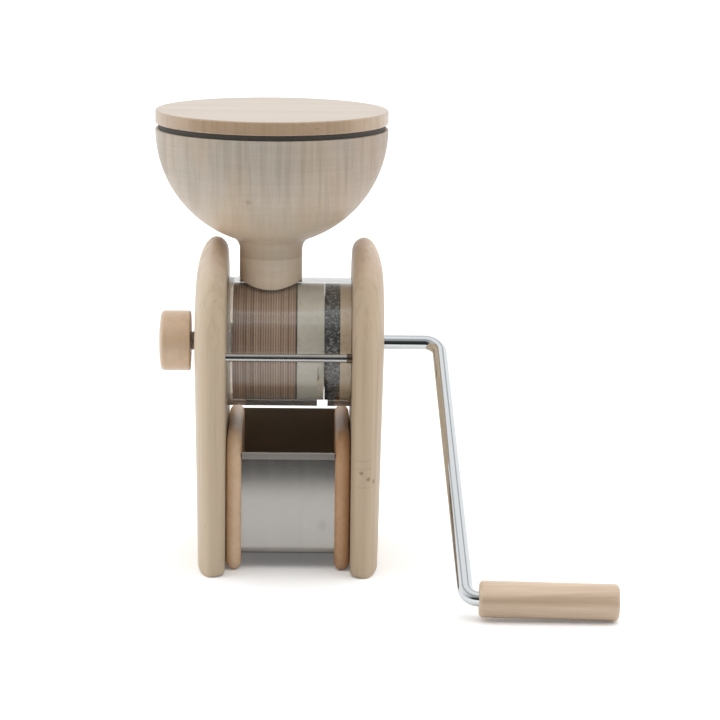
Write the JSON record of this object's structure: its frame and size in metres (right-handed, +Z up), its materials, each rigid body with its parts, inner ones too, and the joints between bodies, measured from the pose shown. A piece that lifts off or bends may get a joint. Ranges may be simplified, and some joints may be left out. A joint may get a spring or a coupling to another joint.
{
  "type": "hand grain mill",
  "caption": "Hand-cranked grain mill: turned wooden hopper and lid, arched side boards, millstones in a clear drum, grind adjusting knob, bent crank and a flour drawer.",
  "frame": {"origin": "on the table, under the middle of the whole mill's box with the crank at rest", "axes": "+X along the crank shaft from the knob to the crank, -Y towards the drawer's front, +Z up"},
  "size_m": [0.3265, 0.2771, 0.3282],
  "materials": {
    "maple": "sanded and oiled",
    "lid_maple": "sanded and oiled",
    "beech": "sanded and oiled",
    "plywood": "turned, layers showing",
    "holder_ring": "turned smooth",
    "pale_stone": "dressed",
    "dark_stone": "dressed, speckled",
    "clear_acrylic": "clear, polished",
    "chrome": "polished",
    "bright_steel": "turned",
    "zinc_steel": "zinc plated thread",
    "dark_steel": "blackened",
    "trough_steel": "brushed",
    "brass": "turned",
    "seal_rubber": "matt"
  },
  "bodies": {
    "frame": {"left_side_board": "maple", "right_side_board": "maple", "front_tie_rod": "bright_steel", "rear_tie_rod": "bright_steel", "tie_rod_studs": "bright_steel", "rod_lock_nuts": "dark_steel", "grinding_tube": "clear_acrylic", "stud_insert": "brass", "shaft_bush": "brass", "thrust_washer": "bright_steel"},
    "stone_block": {"feed_block": "plywood", "spacer_ring": "dark_steel", "stone_holder": "holder_ring", "fixed_stone": "pale_stone", "pilot_bush": "brass", "pressure_plate": "dark_steel", "plate_screws": "bright_steel"},
    "knob": {"adjusting_knob": "maple", "adjusting_stud": "zinc_steel"},
    "crank": {"crank_rod": "chrome", "drive_pin": "bright_steel", "feed_auger": "bright_steel", "running_stone": "dark_stone", "stone_carrier": "maple", "grip_washer": "bright_steel", "grip_screw": "bright_steel"},
    "grip": {"crank_grip": "maple"},
    "hopper_bowl": {"hopper": "maple"},
    "lid": {"hopper_lid": "lid_maple", "lid_seal": "seal_rubber"},
    "drawer": {"drawer_trough": "trough_steel", "drawer_left_side": "beech", "drawer_right_side": "beech"}
  },
  "joints": [
    {"name": "crank_turn", "type": "hinge", "parent": "frame", "child": "crank", "pos_m": [-0.06523, 0.05459, 0.1585], "axis": [1, 0, 0], "continuous": true},
    {"name": "grip_spin", "type": "hinge", "parent": "crank", "child": "grip", "pos_m": [0.05747, -0.12372, 0.01481], "axis": [0.9997, -0.0177, -0.0142], "continuous": true},
    {"name": "grind_travel", "type": "slide", "parent": "frame", "child": "stone_block", "axis": [1, 0, 0], "range_m": [-0.0015, 0.0005]},
    {"name": "knob_turn", "type": "hinge", "parent": "stone_block", "child": "knob", "pos_m": [-0.06523, 0.05459, 0.1585], "axis": [1, 0, 0], "range_deg": [-271, 91]},
    {"name": "hopper_lift", "type": "slide", "parent": "stone_block", "child": "hopper_bowl", "axis": [0, 0, 1], "range_m": [0, 0.06]},
    {"name": "lid_lift", "type": "slide", "parent": "hopper_bowl", "child": "lid", "axis": [0, 0, 1], "range_m": [0, 0.06]},
    {"name": "drawer_pull", "type": "slide", "parent": "frame", "child": "drawer", "axis": [0, -1, 0], "range_m": [0, 0.14]}
  ],
  "couplings": [
    {"joint": "knob_turn", "follows": "grind_travel", "rad_per_m": 3141.6}
  ]
}
